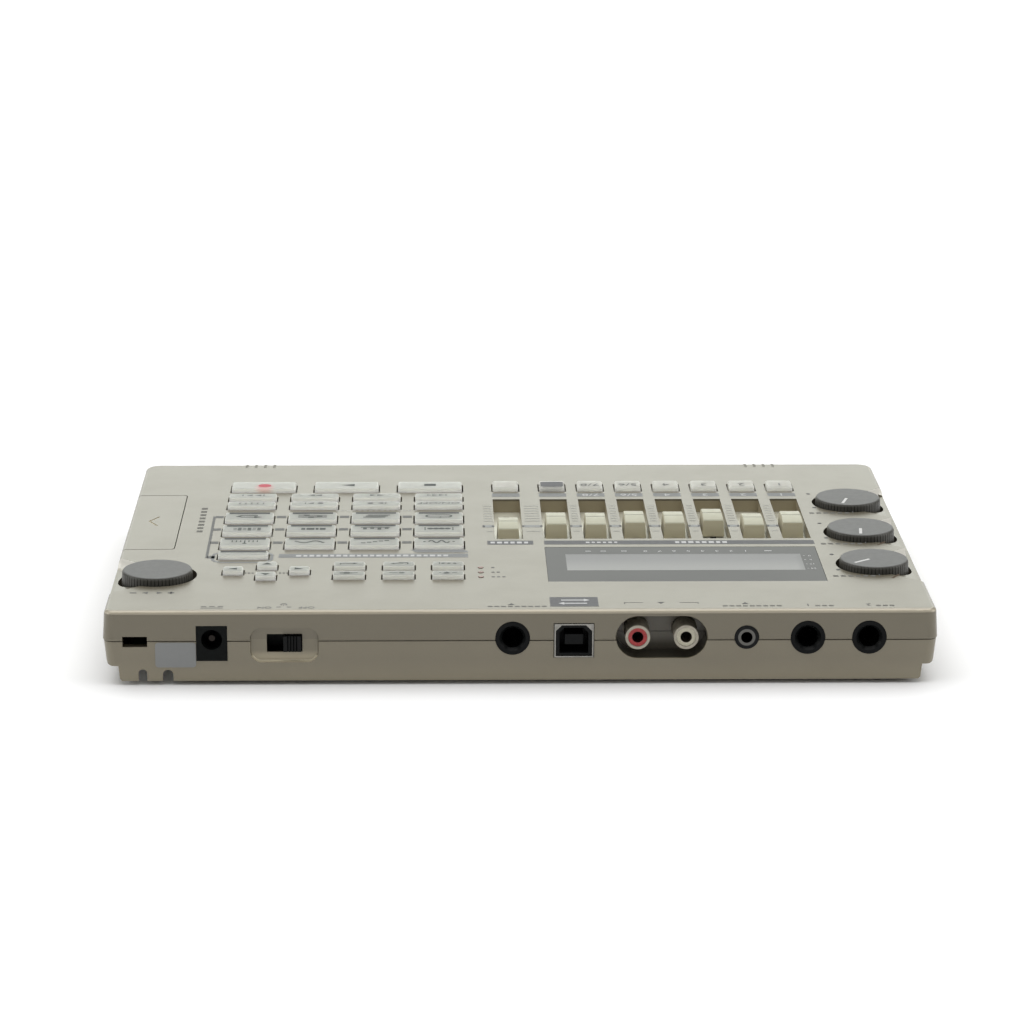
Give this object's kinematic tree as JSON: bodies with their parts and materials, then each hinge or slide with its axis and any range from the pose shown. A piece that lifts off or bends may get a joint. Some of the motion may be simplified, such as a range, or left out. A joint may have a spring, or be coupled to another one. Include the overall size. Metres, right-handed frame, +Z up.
{
  "type": "digital multitrack recorder",
  "caption": "Flat table-top multitrack recorder with a display, sliding faders, level knobs, a value dial, milky push keys, track pads, side card cover and a rear panel of jacks.",
  "frame": {"origin": "centre of the underside, on the plane the rubber feet stand on", "axes": "+Z up, +Y towards the jack panel at the rear, +X to the right of a user who sits at the front"},
  "size_m": [0.259, 0.177, 0.0262],
  "materials": {
    "case_paint": "satin metallic paint",
    "key_plastic": "milky translucent, satin",
    "fader_plastic": "satin",
    "knob_plastic": "satin top, fine knurl",
    "black_plastic": "satin",
    "lens": "gloss, printed behind",
    "lcd": "gloss",
    "board": "satin solder mask",
    "mat": "matte",
    "steel": "satin",
    "chrome": "polished",
    "phono_plastic": "gloss",
    "lamp": "gloss",
    "rubber": "matte",
    "zinc": "zinc plated",
    "cover_plastic": "satin metallic paint"
  },
  "bodies": {
    "unit": {"top_case": "case_paint", "bottom_case": "case_paint", "display_window": "lens", "lcd_module": "lcd", "main_board": "board", "panel_board": "board", "key_mat": "mat", "phone_jacks": "black_plastic", "mini_jacks": "black_plastic", "dc_jack": "black_plastic", "fader_bodies": "black_plastic", "card_socket": "black_plastic", "power_switch_body": "black_plastic", "usb_socket": "chrome", "rca_shells": "chrome", "rca_cores": "phono_plastic", "pot_bodies": "steel", "battery_contacts": "steel", "mic_capsules": "steel", "case_screws": "zinc", "rubber_feet": "rubber", "indicator_leds": "lamp"},
    "rec_key_body": {"rec_key": "key_plastic"},
    "play_key_body": {"play_key": "key_plastic"},
    "stop_key_body": {"stop_key": "key_plastic"},
    "locate_keys_body": {"locate_keys": "key_plastic"},
    "punch_keys_body": {"punch_keys": "key_plastic"},
    "edit_keys_body": {"edit_keys": "key_plastic"},
    "rhythm_keys_body": {"rhythm_keys": "key_plastic"},
    "effect_keys_body": {"effect_keys": "key_plastic"},
    "pad_mode_key_body": {"pad_mode_key": "key_plastic"},
    "cursor_left_key_body": {"cursor_left_key": "key_plastic"},
    "cursor_right_key_body": {"cursor_right_key": "key_plastic"},
    "cursor_up_key_body": {"cursor_up_key": "key_plastic"},
    "cursor_down_key_body": {"cursor_down_key": "key_plastic"},
    "mode_keys_upper_body": {"mode_keys_upper": "key_plastic"},
    "mode_keys_lower_body": {"mode_keys_lower": "key_plastic"},
    "track_pad_master_body": {"track_pad_master": "key_plastic"},
    "track_pad_rhythm_body": {"track_pad_rhythm": "key_plastic"},
    "track_pad_7_8_body": {"track_pad_7_8": "key_plastic"},
    "track_pad_5_6_body": {"track_pad_5_6": "key_plastic"},
    "track_pad_4_body": {"track_pad_4": "key_plastic"},
    "track_pad_3_body": {"track_pad_3": "key_plastic"},
    "track_pad_2_body": {"track_pad_2": "key_plastic"},
    "track_pad_1_body": {"track_pad_1": "key_plastic"},
    "fader_cap_master_body": {"fader_cap_master": "fader_plastic"},
    "fader_cap_rhythm_body": {"fader_cap_rhythm": "fader_plastic"},
    "fader_cap_7_8_body": {"fader_cap_7_8": "fader_plastic"},
    "fader_cap_5_6_body": {"fader_cap_5_6": "fader_plastic"},
    "fader_cap_4_body": {"fader_cap_4": "fader_plastic"},
    "fader_cap_3_body": {"fader_cap_3": "fader_plastic"},
    "fader_cap_2_body": {"fader_cap_2": "fader_plastic"},
    "fader_cap_1_body": {"fader_cap_1": "fader_plastic"},
    "rec_level_knob_body": {"rec_level_knob": "knob_plastic"},
    "mic_level_knob_body": {"mic_level_knob": "knob_plastic"},
    "guitar_level_knob_body": {"guitar_level_knob": "knob_plastic"},
    "value_dial_body": {"value_dial": "knob_plastic"},
    "power_switch_knob_body": {"power_switch_knob": "black_plastic"},
    "card_cover_body": {"card_cover": "cover_plastic"},
    "battery_cover_body": {"battery_cover": "cover_plastic"}
  },
  "joints": [
    {"name": "rec_level_knob_turn", "type": "hinge", "parent": "unit", "child": "rec_level_knob_body", "pos_m": [-0.115, -0.0355, 0.024], "axis": [0, 0, 1], "range_deg": [-33.7, 266.3]},
    {"name": "mic_level_knob_turn", "type": "hinge", "parent": "unit", "child": "mic_level_knob_body", "pos_m": [-0.115, 0.0019, 0.024], "axis": [0, 0, 1], "range_deg": [-45.8, 254.2]},
    {"name": "guitar_level_knob_turn", "type": "hinge", "parent": "unit", "child": "guitar_level_knob_body", "pos_m": [-0.115, 0.0389, 0.024], "axis": [0, 0, 1], "range_deg": [0, 300]},
    {"name": "value_dial_turn", "type": "hinge", "parent": "unit", "child": "value_dial_body", "pos_m": [0.1151, 0.0495, 0.024], "axis": [0, 0, 1], "continuous": true},
    {"name": "power_switch_slide", "type": "slide", "parent": "unit", "child": "power_switch_knob_body", "axis": [1, 0, 0], "range_m": [0, 0.0046]},
    {"name": "card_cover_slide", "type": "slide", "parent": "unit", "child": "card_cover_body", "axis": [1, 0, 0], "range_m": [0, 0.016]},
    {"name": "battery_cover_lift", "type": "slide", "parent": "unit", "child": "battery_cover_body", "axis": [0, 0, -1], "range_m": [0, 0.02]},
    {"name": "fader_master_slide", "type": "slide", "parent": "unit", "child": "fader_cap_master_body", "axis": [0, 1, 0], "range_m": [-0.0258, 0.0042]},
    {"name": "fader_rhythm_slide", "type": "slide", "parent": "unit", "child": "fader_cap_rhythm_body", "axis": [0, 1, 0], "range_m": [-0.02, 0.01]},
    {"name": "fader_7_8_slide", "type": "slide", "parent": "unit", "child": "fader_cap_7_8_body", "axis": [0, 1, 0], "range_m": [-0.0204, 0.0096]},
    {"name": "fader_5_6_slide", "type": "slide", "parent": "unit", "child": "fader_cap_5_6_body", "axis": [0, 1, 0], "range_m": [-0.0183, 0.0117]},
    {"name": "fader_4_slide", "type": "slide", "parent": "unit", "child": "fader_cap_4_body", "axis": [0, 1, 0], "range_m": [-0.019, 0.011]},
    {"name": "fader_3_slide", "type": "slide", "parent": "unit", "child": "fader_cap_3_body", "axis": [0, 1, 0], "range_m": [-0.0158, 0.0142]},
    {"name": "fader_2_slide", "type": "slide", "parent": "unit", "child": "fader_cap_2_body", "axis": [0, 1, 0], "range_m": [-0.0215, 0.0085]},
    {"name": "fader_1_slide", "type": "slide", "parent": "unit", "child": "fader_cap_1_body", "axis": [0, 1, 0], "range_m": [-0.0188, 0.0112]},
    {"name": "rec_key_press", "type": "slide", "parent": "unit", "child": "rec_key_body", "axis": [0, 0, -1], "range_m": [0, 0.0008], "stiffness_N_per_m": 500, "springref_m": -0.0012},
    {"name": "play_key_press", "type": "slide", "parent": "unit", "child": "play_key_body", "axis": [0, 0, -1], "range_m": [0, 0.0008], "stiffness_N_per_m": 500, "springref_m": -0.0012},
    {"name": "stop_key_press", "type": "slide", "parent": "unit", "child": "stop_key_body", "axis": [0, 0, -1], "range_m": [0, 0.0008], "stiffness_N_per_m": 500, "springref_m": -0.0012},
    {"name": "locate_keys_press", "type": "slide", "parent": "unit", "child": "locate_keys_body", "axis": [0, 0, -1], "range_m": [0, 0.0008], "stiffness_N_per_m": 500, "springref_m": -0.0012},
    {"name": "punch_keys_press", "type": "slide", "parent": "unit", "child": "punch_keys_body", "axis": [0, 0, -1], "range_m": [0, 0.0008], "stiffness_N_per_m": 500, "springref_m": -0.0012},
    {"name": "edit_keys_press", "type": "slide", "parent": "unit", "child": "edit_keys_body", "axis": [0, 0, -1], "range_m": [0, 0.0008], "stiffness_N_per_m": 500, "springref_m": -0.0012},
    {"name": "rhythm_keys_press", "type": "slide", "parent": "unit", "child": "rhythm_keys_body", "axis": [0, 0, -1], "range_m": [0, 0.0008], "stiffness_N_per_m": 500, "springref_m": -0.0012},
    {"name": "effect_keys_press", "type": "slide", "parent": "unit", "child": "effect_keys_body", "axis": [0, 0, -1], "range_m": [0, 0.0008], "stiffness_N_per_m": 500, "springref_m": -0.0012},
    {"name": "pad_mode_key_press", "type": "slide", "parent": "unit", "child": "pad_mode_key_body", "axis": [0, 0, -1], "range_m": [0, 0.0008], "stiffness_N_per_m": 500, "springref_m": -0.0012},
    {"name": "cursor_left_key_press", "type": "slide", "parent": "unit", "child": "cursor_left_key_body", "axis": [0, 0, -1], "range_m": [0, 0.0008], "stiffness_N_per_m": 500, "springref_m": -0.0012},
    {"name": "cursor_right_key_press", "type": "slide", "parent": "unit", "child": "cursor_right_key_body", "axis": [0, 0, -1], "range_m": [0, 0.0008], "stiffness_N_per_m": 500, "springref_m": -0.0012},
    {"name": "cursor_up_key_press", "type": "slide", "parent": "unit", "child": "cursor_up_key_body", "axis": [0, 0, -1], "range_m": [0, 0.0008], "stiffness_N_per_m": 500, "springref_m": -0.0012},
    {"name": "cursor_down_key_press", "type": "slide", "parent": "unit", "child": "cursor_down_key_body", "axis": [0, 0, -1], "range_m": [0, 0.0008], "stiffness_N_per_m": 500, "springref_m": -0.0012},
    {"name": "mode_keys_upper_press", "type": "slide", "parent": "unit", "child": "mode_keys_upper_body", "axis": [0, 0, -1], "range_m": [0, 0.0008], "stiffness_N_per_m": 500, "springref_m": -0.0012},
    {"name": "mode_keys_lower_press", "type": "slide", "parent": "unit", "child": "mode_keys_lower_body", "axis": [0, 0, -1], "range_m": [0, 0.0008], "stiffness_N_per_m": 500, "springref_m": -0.0012},
    {"name": "track_pad_master_press", "type": "slide", "parent": "unit", "child": "track_pad_master_body", "axis": [0, 0, -1], "range_m": [0, 0.0008], "stiffness_N_per_m": 500, "springref_m": -0.0012},
    {"name": "track_pad_rhythm_press", "type": "slide", "parent": "unit", "child": "track_pad_rhythm_body", "axis": [0, 0, -1], "range_m": [0, 0.0008], "stiffness_N_per_m": 500, "springref_m": -0.0012},
    {"name": "track_pad_7_8_press", "type": "slide", "parent": "unit", "child": "track_pad_7_8_body", "axis": [0, 0, -1], "range_m": [0, 0.0008], "stiffness_N_per_m": 500, "springref_m": -0.0012},
    {"name": "track_pad_5_6_press", "type": "slide", "parent": "unit", "child": "track_pad_5_6_body", "axis": [0, 0, -1], "range_m": [0, 0.0008], "stiffness_N_per_m": 500, "springref_m": -0.0012},
    {"name": "track_pad_4_press", "type": "slide", "parent": "unit", "child": "track_pad_4_body", "axis": [0, 0, -1], "range_m": [0, 0.0008], "stiffness_N_per_m": 500, "springref_m": -0.0012},
    {"name": "track_pad_3_press", "type": "slide", "parent": "unit", "child": "track_pad_3_body", "axis": [0, 0, -1], "range_m": [0, 0.0008], "stiffness_N_per_m": 500, "springref_m": -0.0012},
    {"name": "track_pad_2_press", "type": "slide", "parent": "unit", "child": "track_pad_2_body", "axis": [0, 0, -1], "range_m": [0, 0.0008], "stiffness_N_per_m": 500, "springref_m": -0.0012},
    {"name": "track_pad_1_press", "type": "slide", "parent": "unit", "child": "track_pad_1_body", "axis": [0, 0, -1], "range_m": [0, 0.0008], "stiffness_N_per_m": 500, "springref_m": -0.0012}
  ]
}
